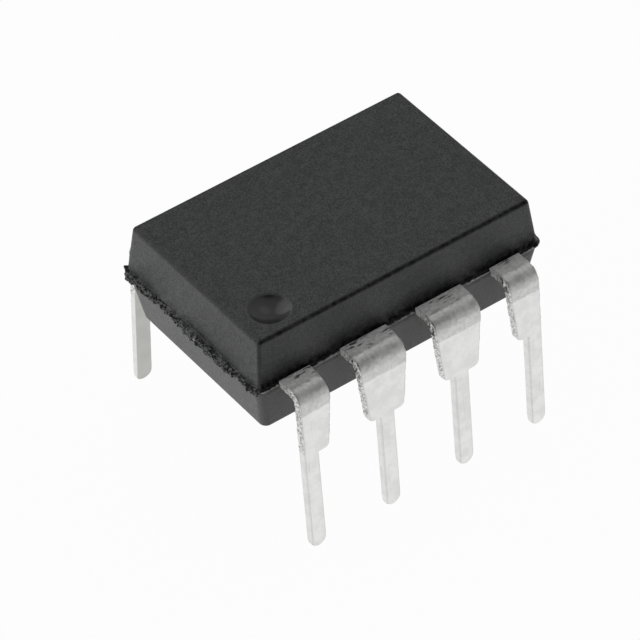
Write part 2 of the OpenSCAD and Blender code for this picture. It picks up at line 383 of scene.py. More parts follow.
# White to the camera, a white screen at the back for mirrors, and a soft sky that lights the object
def makeWorld():
    world = bpy.data.worlds.new("studio")
    bpy.context.scene.world = world
    world.use_nodes = True
    tree = world.node_tree
    tree.nodes.clear()
    where = addNode(tree, "ShaderNodeTexCoord")

    def towards(way, low, high, toLow=0.0, toHigh=1.0):
        made = addNode(tree, "ShaderNodeVectorMath", {"operation": "DOT_PRODUCT"})
        link(tree, where, "Generated", made, 0)
        made.inputs[1].default_value = way
        return ranged(tree, made, "Value", low, high, toLow, toHigh)

    height = towards(Vector(studio["lightFrom"]).normalized(), -1.0, 1.0)
    height.interpolation_type = "LINEAR"
    ramp = addNode(tree, "ShaderNodeValToRGB")
    stops = ramp.color_ramp.elements
    for rise, _ in studio["sky"][1:-1]:
        stops.new((rise + 1) / 2)
    for stop, (_, level) in zip(stops, studio["sky"]):
        stop.color = (level, level, level, 1.0)
    link(tree, height, 0, ramp, 0)
    left = towards((-1.0, 0.0, 0.0), 0.0, 1.0, 1.0, 1.0 + studio["leftLift"])
    shade = towards(view["back"], *studio["shadeEdge"], 1.0, 1.0 - studio["cameraShade"])
    strength = combine(tree, "MULTIPLY", left.outputs[0], shade.outputs[0])
    sky = addNode(tree, "ShaderNodeBackground")
    link(tree, ramp, 0, sky, "Color")
    tree.links.new(strength, sky.inputs["Strength"])
    screen = towards(Vector(studio["screenFrom"]).normalized(), *studio["screenEdge"])
    path = addNode(tree, "ShaderNodeLightPath")
    mirrored = combine(tree, "MAXIMUM", path.outputs["Is Glossy Ray"], path.outputs["Is Transmission Ray"])
    screened = combine(tree, "MULTIPLY", mirrored, screen.outputs[0])
    seen = combine(tree, "MAXIMUM", path.outputs["Is Camera Ray"], screened)
    white = addNode(tree, "ShaderNodeBackground", None, {"Strength": 1.0, "Color": (1, 1, 1, 1)})
    showMixed(tree, seen, sky, white, addNode(tree, "ShaderNodeOutputWorld"))


# One small soft box, up at the back on the right
def makeSoftBox():
    data = bpy.data.lights.new("softBox", "AREA")
    data.shape = "SQUARE"
    data.size = studio["boxSide"]
    data.energy = studio["boxPower"]
    box = bpy.data.objects.new("softBox", data)
    bpy.context.scene.collection.objects.link(box)
    box.location = Vector(studio["lightFrom"]) * studio["boxAway"]
    box.rotation_mode = "QUATERNION"
    box.rotation_quaternion = Vector(studio["lightFrom"]).to_track_quat("Z", "Y")


makeCamera()
makeFloor()
makeWorld()
makeSoftBox()
bpy.context.scene.view_settings.view_transform = "Standard"
print("camera, floor and light made")


resinLooks = {
    "colour": (0.0010, 0.0012, 0.0013),
    "mottle": (0.0390, 0.0455, 0.0430),
    "speckle": (0.080, 0.083, 0.083),
    "edge": (0.004, 0.004, 0.004),       # painted dark shade line on the rounded edges and corners, and the dish's own dark colour
    "rim": (0.400, 0.402, 0.402),        # painted highlight: the light line under the parting line, and on the dish's rim
    # the dull black of the painted shade, which the pores take too
    "paintedShade": (0.0015, 0.0015, 0.0015),
    "rough": (0.28, 0.38),
    "dishRough": 0.2,
    "bump": (0.5, 0.02),                 # its strength outside the dish and in it
    "pores": 0.26,                       # how much of the dull black the deepest pores take
    "dishPores": 0.1,                    # how much of that is left in the dish
    "broken": ((0.004, 0.004, 0.004), (0.20, 0.201, 0.203)),
    "cutMetal": (0.50, 0.50, 0.49),
}


# Black moulding compound: fine grain with light filler specks and dark pores, a painted dark shade line
# along the rounded edges, painted highlight lines on the lower half's rim and the dish's rim, and painted
# shade above the leads and on the long sides
def makeResin():
    material, tree, shader = newMaterial("mouldedResin", {"Specular IOR Level": 0.74, "Metallic": 0.0})
    grain = onPiece(tree, placeGroup(tree, fineGrain, Fine=21000.0, Coarse=5000.0, Share=0.25))
    tone = ranged(tree, grain, "Tone", 0.38, 0.64)
    base = mixColours(tree, tone.outputs[0], resinLooks["colour"], resinLooks["mottle"])
    specks = onPiece(tree, addNode(tree, "ShaderNodeTexVoronoi", None, {"Scale": 9000.0}))
    dots = ranged(tree, specks, "Distance", 0.16, 0.06)
    base = mixColours(tree, dots.outputs[0], base, resinLooks["speckle"])
    # the edge mask paints a dark shade line, and the rim mask a light highlight line
    for name, breakup in (("edge", 6000.0), ("rim", 9000.0)):
        edgeShadingNode = onPiece(tree, placeGroup(tree, paintedEdgeShading, Breakup=breakup))
        link(tree, readMask(tree, name), "Fac", edgeShadingNode, "Edge")
        base = mixColours(tree, edgeShadingNode.outputs["Mask"], base, resinLooks[name])
    dish = readMask(tree, "dish")
    base = mixColours(tree, dish.outputs["Fac"], base, resinLooks["edge"])
    tree.links.new(base, shader.inputs["Base Color"])
    rough = ranged(tree, grain, "Tone", 0.3, 0.7, *resinLooks["rough"])
    smooth = addNode(tree, "ShaderNodeMix", None, {3: resinLooks["dishRough"]})
    link(tree, dish, "Fac", smooth, 0)
    link(tree, rough, 0, smooth, 2)
    link(tree, smooth, 0, shader, "Roughness")
    bump = addRelief(tree, shader, grain, "Height", 0.00005, resinLooks["bump"][0])
    link(tree, ranged(tree, dish, "Fac", 0.0, 1.0, *resinLooks["bump"]), 0, bump, "Strength")

    # a dull black lies over it as painted shade where the shade mask says, and in the pores of the grain
    shadeAndPoreShader = addNode(tree, "ShaderNodeBsdfPrincipled", None, {
        "Base Color": (*resinLooks["paintedShade"], 1.0), "Roughness": 0.8, "Specular IOR Level": 0.03})
    patchy = onPiece(tree, addNode(tree, "ShaderNodeTexNoise", None, {"Scale": 7000.0, "Detail": 3.0}))
    amount = ranged(tree, patchy, 0, 0.36, 0.6, 0.8, 1.0)
    paintedShade = combine(tree, "MULTIPLY", readMask(tree, "shade").outputs["Fac"], amount.outputs[0])
    pores = ranged(tree, grain, "Tone", 0.38, 0.62, resinLooks["pores"], 0.0)
    outside = ranged(tree, dish, "Fac", 0.0, 1.0, 1.0, resinLooks["dishPores"])
    share = combine(tree, "MAXIMUM", paintedShade, combine(tree, "MULTIPLY", pores.outputs[0], outside.outputs[0]))
    showMixed(tree, share, shader, shadeAndPoreShader, tree.nodes["Material Output"])
    return material


# The broken resin of the flash and between the leads: rough and pitted, dark in its pits and pale
# where its filler shows, with painted shade where the web between the leads is broken, and a few bright
# specks where the tie bars were cut
def makeBrokenResin():
    material, tree, shader = newMaterial("brokenResin", {"Specular IOR Level": 0.22, "Metallic": 0.0})
    grain = onPiece(tree, placeGroup(tree, fineGrain, Fine=19000.0, Coarse=8500.0, Share=0.5))
    tone = ranged(tree, grain, "Tone", 0.45, 0.56)
    base = mixColours(tree, tone.outputs[0], *resinLooks["broken"])
    for name, colour in (("shade", "paintedShade"), ("speck", "cutMetal")):
        base = mixColours(tree, readMask(tree, name).outputs["Fac"], base, resinLooks[colour])
    tree.links.new(base, shader.inputs["Base Color"])
    rough = ranged(tree, grain, "Tone", 0.3, 0.7, 0.55, 0.9)
    link(tree, rough, 0, shader, "Roughness")
    addRelief(tree, shader, grain, "Tone", 0.00004, 0.9)
    return material


resin = makeResin()
brokenResin = makeBrokenResin()

body = {
    "topZ": 3.68,
    "underZ": 0.38,
    "upperDraft": 6.3,       # degrees
    "lowerDraft": 9.5,
    "edgeR": 0.14,           # round the top and the underside
    "edgeSteps": 8,
    "land": 0.03,            # from each rounded edge to the next ring on its flat and on its wall
    "upperCornerR": 0.13,
    "lowerCornerR": 0.24,
    "leastCornerR": 0.04,
    "rimR": 0.02,            # along the upper half's lower edge
    "rimSteps": 4,
    "rimDrop": 0.0005,       # from there to the step under it
    "longCount": 300,        # vertices along each long side
    "shortCount": 240,
    "cornerCount": 16,
    "bandFrom": 1.76,        # the finely cut band about the parting line
    "bandTo": 2.3,
    "bandStep": 0.0155,
    "wallSteps": (0.25, 0.5, 0.75),       # rings on each wall, as shares of its way to the band
    "dish": (-3.527, -1.997, 0.6, 0.2),   # centre x and y, radius, depth
    "dishRim": 0.04,
    "dishSteps": 20,
    "dishSides": 96,
    "ejector": (2.6, 0.8, 0.06),          # centre x on both sides, radius, depth
    "ejectorRim": 0.03,
    "ejectorFoot": 0.6,      # radius of its foot, as a share of its depth
    "ejectorDraft": 0.01,
    "ejectorSides": 64,
}


# Inset of the wall and radius of the upright corner at a height, for each half's drafted wall
def wallAt(z):
    if z >= chip["frameTop"]:
        return (z - chip["frameTop"]) * math.tan(math.radians(body["upperDraft"])), body["upperCornerR"]
    if z <= chip["frameUnder"]:
        return (chip["frameUnder"] - z) * math.tan(math.radians(body["lowerDraft"])), body["lowerCornerR"]
    t = (z - chip["frameUnder"]) / chip["frameT"]
    return 0.0, lerp(body["lowerCornerR"], body["upperCornerR"], t)


# Heights, insets, corner radii and edge masks from the underside's flat up to the top's flat
def bodyLevels():
    levels = []
    for side in (-1, 1):
        draft = math.radians(body["lowerDraft"] if side < 0 else body["upperDraft"])
        flatZ = body["underZ"] if side < 0 else body["topZ"]
        centreZ = flatZ - side * body["edgeR"]
        inset, corner = wallAt(centreZ)
        centreIn = inset + body["edgeR"] / math.cos(draft)
        arc = []
        for i in range(body["edgeSteps"] + 1):
            t = i / body["edgeSteps"]
            turn = lerp(draft, math.pi / 2, t)
            z = centreZ + side * body["edgeR"] * math.sin(turn)
            inwards = centreIn - body["edgeR"] * math.cos(turn)
            start = centreIn - body["edgeR"] * math.cos(draft)
            radius = max(corner - (inwards - start), body["leastCornerR"])
            arc.append((z, inwards, radius, math.sin(math.pi * t)))
        land = (flatZ, arc[-1][1] + body["land"], arc[-1][2], 0.0)
        wallZ = arc[0][0] - side * body["land"]
        bandZ = body["bandFrom"] if side < 0 else body["bandTo"]
        walls = [wallZ] + [lerp(wallZ, bandZ, t) for t in body["wallSteps"]]
        levels.append([land] + arc[::-1] + [(z, *wallAt(z), 0.0) for z in walls])
    band = []
    steps = round((body["bandTo"] - body["bandFrom"]) / body["bandStep"])
    for i in range(steps + 1):
        z = lerp(body["bandFrom"], body["bandTo"], i / steps)
        if abs(z - chip["frameTop"]) > body["rimR"]:
            band.append((z, *wallAt(z), 0.0))
    # The upper half's lower edge is rounded and square on to the step under it.
    inset, corner = wallAt(chip["frameTop"])
    for i in range(body["rimSteps"] + 1):
        turn = math.radians(90 * i / body["rimSteps"])
        z = chip["frameTop"] + body["rimR"] * (1 - math.sin(turn))
        band.append((z, inset + body["rimR"] * (1 - math.cos(turn)), corner, 0.0))
    band.append((chip["frameTop"] - body["rimDrop"], 0.0, corner, 0.0))
    band.sort(key=lambda b: b[0])
    return levels[0] + band + levels[1][::-1]


# The ragged rib of flash along the parting line of both ends. A course is made of layers of noise,
# each with a strength, the width of its bumps and its own row.
flash = {
    "seed": 3,
    "out": (0.168, 0.186),   # the furthest that it may reach at each end
    "farLeft": 0.75,         # how much further it tries to reach on the corner at -X and +Y
    "least": (0.15, 0.72),   # the least share of that, and the least over the tie bar
    "reach": 0.55,           # the share that it mostly reaches
    "reachCourse": ((0.35, 0.7, 11), (0.35, 0.15, 13)),
    "cornerReach": 0.4,      # and what a strong corner adds
    "cornerReachY": (1.9, 2.9),
    "middleZ": 2.02,
    "middleCourse": ((0.035, 0.7, 7),),
    "half": 0.16,            # half its height
    "halfCourse": ((0.045, 0.45, 0), (0.04, 0.11, 3)),
    "slope": 0.045,          # height over which it rises from the wall
    "barY": (0.34, 0.4),     # it covers the tie bar's cut end
    "barMore": 0.03,
    "roundY": 2.5,           # past this it runs on round its strong corner
    "roundFacing": (0.02, 0.5),
    "endFacing": (0.55, 0.98),
    "endDepth": 0.5,
    "fade": 0.16,            # how far from its other end it dies away
    "fadePast": 0.03,
    "cornerY": (2.6, 3.0),
    "calm": 0.75,            # how much less pitted a strong corner is
    "spur": (0.06, 0.13),    # on the corner at +X and -Y: how far up it lies, and half its height
    "spurOut": (0.9, 0.35),
    "spurY": (2.95, 3.1),
    "pits": ((0.3, 0.1, 5), (0.28, 0.05, 6)),
    "holes": (0.55, 0.13, 7),
    "holeEdge": (0.2, 0.42),
}


# A value with its uneven course along one end
def courseAt(value, layers, y, end, seed):
    return sum((strength * wander(y, row, end, size, seed) for strength, size, row in layers), value)


# The flash at one spot of an end wall: how far it stands out, and how broken the surface is there.
# It runs on round two corners that lie across from each other, and dies away before the others.
def flashAt(x, y, z, out):
    end = 1 if x > 0 else -1
    across = -y * end
    onRound = across > flash["roundY"]
    facing = smoothStep(*flash["roundFacing" if onRound else "endFacing"], abs(out.x))
    onEnd = abs(x) >= chip["bodyLength"] / 2 - flash["endDepth"]
    if facing <= 0 or not onEnd or not body["bandFrom"] < z < body["bandTo"]:
        return 0.0, 0.0
    seed = flash["seed"] + end
    atCorner = smoothStep(*flash["cornerY"], across)
    overBar = 1 - smoothStep(*flash["barY"], abs(y))
    half = flash["half"] + flash["barMore"] * overBar + courseAt(0.0, flash["halfCourse"], y, end, seed)
    middle = courseAt(flash["middleZ"], flash["middleCourse"], y, end, seed)
    reach = courseAt(flash["reach"], flash["reachCourse"], y, end, seed)
    reach += flash["cornerReach"] * smoothStep(*flash["cornerReachY"], across)
    fromCorner = chip["bodyWidth"] / 2 - abs(y) + flash["fadePast"]
    fade = 1.0 if onRound else smoothStep(0.0, flash["fade"], fromCorner)
    height = smoothStep(0.0, flash["slope"], half - abs(z - middle))
    if end > 0:
        up, spurHalf = flash["spur"]
        spurOut = flash["spurOut"][0] - flash["spurOut"][1] * smoothStep(*flash["spurY"], across)
        height = lerp(height, clamp(1.0 - abs(z - middle - up) / spurHalf) * spurOut, atCorner)
    strength, size, own = flash["holes"]
    pits = layered(0.0, flash["pits"], x, y, z, seed)
    pits -= strength * smoothStep(*flash["holeEdge"], wander(x, y, z, size, seed + own))
    share = clamp(reach + pits * (1 - flash["calm"] * atCorner), lerp(*flash["least"], overBar), 1.0)
    most = flash["out"][(end + 1) // 2] * (1 + flash["farLeft"] * atCorner * (end < 0))
    return most * share * height * facing * fade, height * facing * fade


web = {
    "stepZ": 2.045,          # height of the broken step between the leads
    "stepCourse": ((0.03, 0.5, 23), (0.035, 0.12, 24)),
    "stepHalf": 0.012,       # half the height over which it breaks off
    "sunk": 0.004,           # how far back the web lies below the step
    "depth": 0.034,          # and how much further above it
    "rough": ((0.012, 0.16, 21), (0.012, 0.06, 22)),
    "calm": 0.25,            # the share of that roughness below the step
}


# The web between the leads: flush with the lower half up to a ragged step, and broken above it
def webAt(x, y, z):
    if not chip["frameUnder"] < z < chip["frameTop"]:
        return 0.0, 0.0
    stepZ = layered(web["stepZ"], web["stepCourse"], x, y, 0)
    broken = smoothStep(stepZ - web["stepHalf"], stepZ + web["stepHalf"], z)
    rough = layered(0.0, web["rough"], x, y, z) * lerp(web["calm"], 1.0, broken)
    return web["sunk"] + web["depth"] * broken + rough, broken


def bodyPlaces(stops, levels):
    halfX, halfY = chip["bodyLength"] / 2, chip["bodyWidth"] / 2
    for z, inset, corner, _ in levels:
        ring = []
        for stop in stops:
            flat, out = outlineAt(stop, halfX - inset, halfY - inset, corner)
            x, y = flat
            stand, _ = flashAt(x, y, z, out)
            depth, _ = webAt(x, y, z)
            inWeb = max(depth, 0.0) * (1 - smoothStep(0.0, 0.03, stand))
            push = stand + inset * smoothStep(0.0, 0.04, stand) - inWeb
            x, y = x + out.x * push, y + out.y * push
            x = clamp(x, -halfX - flash["out"][0], halfX + flash["out"][1])
            ring.append(Vector((x, y, z)))
        yield ring


# Rings about one centre, each with its radius and its depth behind a flat that faces up or down
def sunkRings(bm, x, y, flatZ, up, steps, count):
    turns = [2 * math.pi * i / count for i in range(count)]
    return loftRings(bm, count, [
        [Vector((x + r * math.cos(t), y + r * math.sin(t), flatZ - up * down)) for t in turns]
        for r, down in steps])


# A round ejector mark in the underside: from its rim up to its own flat floor
def sinkEjector(bm, x, radius, depth):
    rim, foot, wallR = body["ejectorRim"], depth * body["ejectorFoot"], radius - body["ejectorDraft"]
    turns = [math.radians(a) for a in (22, 45, 67, 90)]
    steps = [(radius + rim, 0.0)]
    steps += [(radius + rim * (1 - math.sin(t)), rim * (1 - math.cos(t))) for t in turns]
    steps += [(wallR, lerp(rim, depth - foot, t)) for t in (0.5, 1.0)]
    steps += [(wallR - foot * (1 - math.cos(t)), depth - foot * (1 - math.sin(t))) for t in turns]
    steps += [(wallR - foot - rim, depth)]
    rings = sunkRings(bm, x, 0, body["underZ"], -1, steps, body["ejectorSides"])
    floorFace = bmesh.ops.contextual_create(bm, geom=ringEdges(rings[-1]))["faces"]
    return ringEdges(rings[0]), floorFace


# The shallow dish that marks lead 1: a part of a sphere with a softly rounded rim
def sinkDish(bm, x, y, radius, depth):
    sphereR = (radius ** 2 + depth ** 2) / (2 * depth)
    rim = body["dishRim"]
    steps = [(radius + rim, 0.0), (radius + rim * 0.5, rim * 0.08), (radius, rim * 0.3)]
    for i in range(1, body["dishSteps"]):
        r = radius * (1 - i / body["dishSteps"])
        steps.append((r, depth - sphereR + math.sqrt(sphereR ** 2 - r ** 2)))
    rings = sunkRings(bm, x, y, body["topZ"], 1, steps, body["dishSides"])
    middle = bmesh.ops.contextual_create(bm, geom=ringEdges(rings[-1]))["faces"]
    bmesh.ops.poke(bm, faces=middle)
    return ringEdges(rings[0])


# How strong the body's masks are, and the heights and distances over which they come and go. Most of them
# paint shade and highlights into the resin's colour.
shades = {
    "dishStart": 0.02,
    # painted shade in the dish's middle
    "dishMiddle": 0.2,
    "dishMiddleR": (0.2, 0.5),
    "dishLine": 0.3,             # painted highlight line on the part of the dish's rim by lead 1's corner
    "dishLineOut": 0.01,
    "dishLineHalf": 0.03,
    "dishLineAway": (0.571, 0.821),      # the way to the part of the rim that stays dark
    "dishLineEnd": (0.1, 0.7),
    # painted dark shade line down the upright corners, through the edge mask
    "shadedCorner": 0.8,
    "longFacing": (0.5, 0.95),
    "paintedShade": (2.25, 3.35),        # painted shade above the leads on the long sides, full at the first height
    "paintedShadeEnd": (3.2, 3.45),
    "paintedShadePower": 1.7,
    # painted dark shade line along the long sides' top edges
    "edgeShading": 0.7,
    "edgeShadingCourse": ((0.4, 0.12, 41),),
    # painted dark shade down the upright corners of the upper half
    "corner": 0.55,
    # painted shade over the long sides' upper walls
    "upperLongShade": 0.3,
    "upperLongShadeEnd": (3.56, 3.62),   # the flat top stays unshaded
    # painted shade over the long sides' lower walls
    "lower": 0.24,
    "lowerEnd": (0.42, 0.5),
    "line": (1.98, 2.015),       # painted highlight line on the web below its broken step
    "flashed": 0.3,
    "broken": 0.4,
    "speckCourse": ((0.02, 0.04, 31),),
    "speckEdge": 0.6,
}

# Where a tie bar's cut shows in the flash: end, y, z and radius
cutSpecks = [
    (-1, 0.41, 2.01, 0.035), (-1, -0.29, 2.05, 0.04), (-1, -1.48, 1.905, 0.03), (-1, -0.05, 1.98, 0.02),
    (1, 0.2, 2.03, 0.04), (1, -0.33, 1.97, 0.035)]


def markDish(v, marks):
    centreX, centreY, radius, _ = body["dish"]
    x, y = v.co.x - centreX, v.co.y - centreY
    r = math.hypot(x, y)
    v[marks["dish"]] = smoothStep(0.0, shades["dishStart"], body["topZ"] - v.co.z)
    # painted shade in the dish's middle
    v[marks["shade"]] = shades["dishMiddle"] * (1 - smoothStep(*shades["dishMiddleR"], r))
    # and a painted highlight line round part of its rim
    if r > radius - shades["dishLineHalf"]:
        awayX, awayY = shades["dishLineAway"]
        near = 1 - smoothStep(*shades["dishLineEnd"], (awayX * x + awayY * y) / r)
        off = abs(r - radius - shades["dishLineOut"]) / shades["dishLineHalf"]
        v[marks["rim"]] = shades["dishLine"] * near * (1 - clamp(off))


# The masks of one vertex of the walls, and how broken the resin is there
def markWall(v, marks, stop, z, edge):
    x, y, _ = v.co
    onCorner = math.sin(math.pi * stop[2])
    # the edge mask paints a dark shade line along the rounded edges and down the upright corners
    v[marks["edge"]] = max(edge, shades["shadedCorner"] * onCorner)
    _, out = outlineAt(stop, 1, 1, 0.1)
    onLong = smoothStep(*shades["longFacing"], abs(out.y))
    # painted shade: darker just above the leads and over the long sides, and along their top edges and the
    # upper corners
    if z >= chip["frameTop"] - 0.001:
        full, none = shades["paintedShade"]
        down = clamp((none - z) / (none - full))
        paintedShade = onLong * (1 - smoothStep(*shades["paintedShadeEnd"], z)) * down ** shades["paintedShadePower"]
        edgeShading = edge * layered(shades["edgeShading"], shades["edgeShadingCourse"], x, y, 0)
        upperLongShade = shades["upperLongShade"] * (1 - smoothStep(*shades["upperLongShadeEnd"], z))
        v[marks["shade"]] = max(paintedShade, edgeShading * onLong, shades["corner"] * onCorner, upperLongShade * onLong)
    else:
        v[marks["shade"]] = shades["lower"] * onLong * smoothStep(*shades["lowerEnd"], z)
    _, flashed = flashAt(x, y, z, out)
    _, broken = webAt(x, y, z)
    # painted shade in the gap where the web between the leads is broken, and a painted highlight line below
    # it
    if flashed < shades["flashed"] and chip["frameUnder"] < z < chip["frameTop"]:
        v[marks["shade"]] = broken
        v[marks["rim"]] = (1 - broken) * smoothStep(*shades["line"], z) * onLong
    for end, speckY, speckZ, radius in cutSpecks:
        away = layered(math.hypot(y - speckY, z - speckZ), shades["speckCourse"], x, y, z)
        if x * end > 4:
            speck = 1 - smoothStep(radius * shades["speckEdge"], radius, away)
            v[marks["speck"]] = max(v[marks["speck"]], speck)
    return max(flashed, broken)


def makeBody():
    bm = bmesh.new()
    marks = {name: bm.verts.layers.float.new(name) for name in ("speck", "edge", "rim", "shade", "dish")}
    stops = outlineStops(body["longCount"], body["shortCount"], body["cornerCount"])
    levels = bodyLevels()
    rings = loftRings(bm, len(stops), bodyPlaces(stops, levels))

    # the flat top with its round dish, and the underside with its two ejector marks
    flats = []
    made = set(bm.verts)
    topEdges = ringEdges(rings[-1]) + sinkDish(bm, *body["dish"])
    for v in bm.verts:
        if v not in made:
            markDish(v, marks)
    x, radius, depth = body["ejector"]
    underEdges = ringEdges(rings[0])
    for side in (-1, 1):
        rim, floorFace = sinkEjector(bm, side * x, radius, depth)
        flats += floorFace
        underEdges += rim
    for edges, up in ((topEdges, 1), (underEdges, -1)):
        filled = bmesh.ops.triangle_fill(bm, use_beauty=True, use_dissolve=False, edges=edges,
                                         normal=(0, 0, up))["geom"]
        flats += [g for g in filled if isinstance(g, bmesh.types.BMFace)]
    bmesh.ops.recalc_face_normals(bm, faces=bm.faces)
    for face in bm.faces:
        face.smooth = True
    for face in flats:
        face.smooth = False

    brokenAt = {}
    for ring, (z, _, _, edge) in zip(rings, levels):
        for v, stop in zip(ring, stops):
            brokenAt[v] = markWall(v, marks, stop, z, edge)
    for face in bm.faces:
        if sum(brokenAt.get(v, 0.0) for v in face.verts) / len(face.verts) > shades["broken"]:
            face.material_index = 1
    finishPiece(bm, "moulded_body", "body", [resin, brokenResin])


makeBody()
print("body made")


leadLooks = {
    "tail": ((0.75, 0.75, 0.735), (0.88, 0.88, 0.865)),
    # painted shade on the faces that face the body
    "inner": (0.51, 0.51, 0.49),
    "bend": ((0.52, 0.52, 0.51), (0.73, 0.73, 0.72)),
    "flat": ((0.75, 0.75, 0.74), (0.97, 0.97, 0.96)),
    "scratch": (0.09, 0.09, 0.09),
    "streak": (0.40, 0.40, 0.39),
    "streakShare": 0.5,
    "cut": ((0.30, 0.30, 0.29), (0.86, 0.86, 0.84)),
    "roll": (0.42, 0.42, 0.41),
    "rough": (0.30, 0.46),
    "scratchRough": 0.3,     # what a scratch adds to that
    "worked": 0.5,           # strength of the bumps where the metal was worked
    "matt": 0.9,             # how matt the flats are
}


# Tin plate on a stamped strip: bright and even on the tails, burnished and mottled where it was
# bent, soiled and scratched on the flats, torn along the cut sides, and with painted shade on the
# faces that face the body. It reads the strip's own flat coordinates.
def makeTin():
    material, tree, shader = newMaterial("tinPlate", {"Metallic": 1.0})
    names = ("strip", "cut", "flat", "burnished", "roll", "inner")
    strip, cut, flat, burnished, roll, inner = [readMask(tree, name) for name in names]
    mottle = addNode(tree, "ShaderNodeTexNoise", None, {"Scale": 2400.0, "Detail": 5.0, "Roughness": 0.6})
    fine = addNode(tree, "ShaderNodeTexNoise", None, {"Scale": 9000.0, "Detail": 3.0, "Roughness": 0.6})
    torn = addNode(tree, "ShaderNodeTexNoise", None, {"Scale": 15000.0, "Detail": 2.0, "Roughness": 0.6})
    brushed = placeGroup(tree, metalStreaks, Across=26000.0, Along=900.0, Patch=1800.0, Low=0.56, High=0.8)
    turn = addNode(tree, "ShaderNodeMapping", None, {"Rotation": (0, 0, math.radians(90))})
    for made in (mottle, fine, torn, brushed, turn):
        link(tree, strip, "Vector", made, "Vector")
    scratched = placeGroup(tree, metalStreaks, Across=13000.0, Along=2200.0, Patch=1700.0,
                           Low=0.55, High=0.6)
    link(tree, turn, 0, scratched, "Vector")

    clouds = ranged(tree, mottle, 0, 0.35, 0.65).outputs[0]
    spots = ranged(tree, fine, 0, 0.34, 0.66).outputs[0]
    both = combine(tree, "MULTIPLY", combine(tree, "ADD", clouds, spots), 0.5)
    base = mixColours(tree, clouds, *leadLooks["tail"])
    base = mixColours(tree, burnished.outputs["Fac"], base, mixColours(tree, both, *leadLooks["bend"]))
    base = mixColours(tree, flat.outputs["Fac"], base, mixColours(tree, spots, *leadLooks["flat"]))
    faint = combine(tree, "MULTIPLY", brushed.outputs["Mask"], leadLooks["streakShare"])
    base = mixColours(tree, faint, base, leadLooks["streak"])
    onFlat = combine(tree, "MULTIPLY", scratched.outputs["Mask"], flat.outputs["Fac"])
    base = mixColours(tree, onFlat, base, leadLooks["scratch"])
    for mask, name in ((inner, "inner"), (roll, "roll")):
        base = mixColours(tree, mask.outputs["Fac"], base, leadLooks[name])
    shear = mixColours(tree, ranged(tree, torn, 0, 0.4, 0.58).outputs[0], *leadLooks["cut"])
    base = mixColours(tree, cut.outputs["Fac"], base, shear)
    tree.links.new(base, shader.inputs["Base Color"])
    rough = ranged(tree, mottle, 0, 0.3, 0.7, *leadLooks["rough"])
    scratchRough = combine(tree, "MULTIPLY", onFlat, leadLooks["scratchRough"])
    tree.links.new(combine(tree, "ADD", rough.outputs[0], scratchRough), shader.inputs["Roughness"])
    fineBump = addNode(tree, "ShaderNodeBump", None, {"Strength": 0.35, "Distance": 0.000006})
    link(tree, brushed, "Height", fineBump, "Height")
    bump = addNode(tree, "ShaderNodeBump", None, {"Distance": 0.00002})
    tree.links.new(both, bump.inputs["Height"])
    worked = combine(tree, "MULTIPLY", burnished.outputs["Fac"], leadLooks["worked"])
    tree.links.new(worked, bump.inputs["Strength"])
    link(tree, fineBump, 0, bump, "Normal")
    link(tree, bump, 0, shader, "Normal")

    # the flats beside the body are left matt by the blasting that cleans them
    matt = addNode(tree, "ShaderNodeBsdfPrincipled", None, {
        "Roughness": 0.6, "Metallic": 0.0, "Specular IOR Level": 1.0})
    tree.links.new(base, matt.inputs["Base Color"])
    link(tree, bump, 0, matt, "Normal")
    share = combine(tree, "MULTIPLY", flat.outputs["Fac"], leadLooks["matt"])
    showMixed(tree, share, shader, matt, tree.nodes["Material Output"])
    return material


tin = makeTin()

lead = {
    "rowW": 8.2,             # over the outer faces at the seating plane
    "splay": 3.4,            # degrees
    "bendR": 0.25,           # inner radius of the bend
    "shoulderW": 1.54,
    "ledgeW": 1.19,
    "ledgeR": 0.14,
    "tailFillet": 0.07,
    "tailW": 0.49,
    "tipR": 0.22,
    "tipT": 0.13,            # thickness of the coined tip
    "tipTaper": 0.35,        # length over which the tail thins to it
    "rollR": 0.06,           # roll of the outer face's edges
    "innerR": 0.022,         # and of the inner face's
    "rootIn": 0.45,
    "neckW": 0.75,
    "neckLen": 0.35,
    "fingerW": 1.15,
    "padGapY": 1.45,         # where the middle fingers end
    "tip": (1.9, 0.6, 1.15),  # x, y and width of an end finger's arm beside the pad
    "outside": 3.1,          # distance along the strip at which it leaves the body
    "shear": 0.003,          # roughness of its stamped sides
    "burr": 0.019,           # and how much more the dam bar's cut tore them
    "cutFrom": (0.0, 0.2),   # where that starts and ends, from the body's wall
    "cutTo": (2.35, 2.6),
    "cutMask": (0.06, 0.85),  # how torn the sides look, away from the cut and in it
    "rollMask": (0.35, 0.5),
    "dent": 0.004,
    "burnishedTo": 1.46,     # height down to which the bend was burnished
    "ring": (16, 5, 4),      # vertices along a ring's wide sides, narrow sides and corners
    "jump": 0.001,           # strip length in which its width may change at once
    "flatRows": 22,
    "bendRows": 26,
    "shoulderRows": 84,
    "cornerRows": 8,
    "filletRows": 5,
    "tailRows": 40,
    "tipRows": 10,
    "stripApart": 6.0,       # from lead to lead in the coordinates of the tin
    "sharp": 42,             # degrees from which an edge stays sharp
}
lead["bendZ"] = chip["frameTop"] - lead["bendR"] - chip["frameT"]
splay = math.radians(lead["splay"])
lead["bendY"] = lead["rowW"] / 2 - (lead["bendR"] + chip["frameT"]
                                    + lead["bendZ"] * math.sin(splay)) / math.cos(splay)
lead["midR"] = lead["bendR"] + chip["frameT"] / 2
lead["midZ"] = (chip["frameTop"] + chip["frameUnder"]) / 2
lead["arcLen"] = lead["midR"] * (math.pi / 2 - splay)
lead["rootY"] = chip["bodyWidth"] / 2 - lead["rootIn"]
lead["endZ"] = chip["tipZ"] + lead["tipT"] / 2 * math.sin(splay)


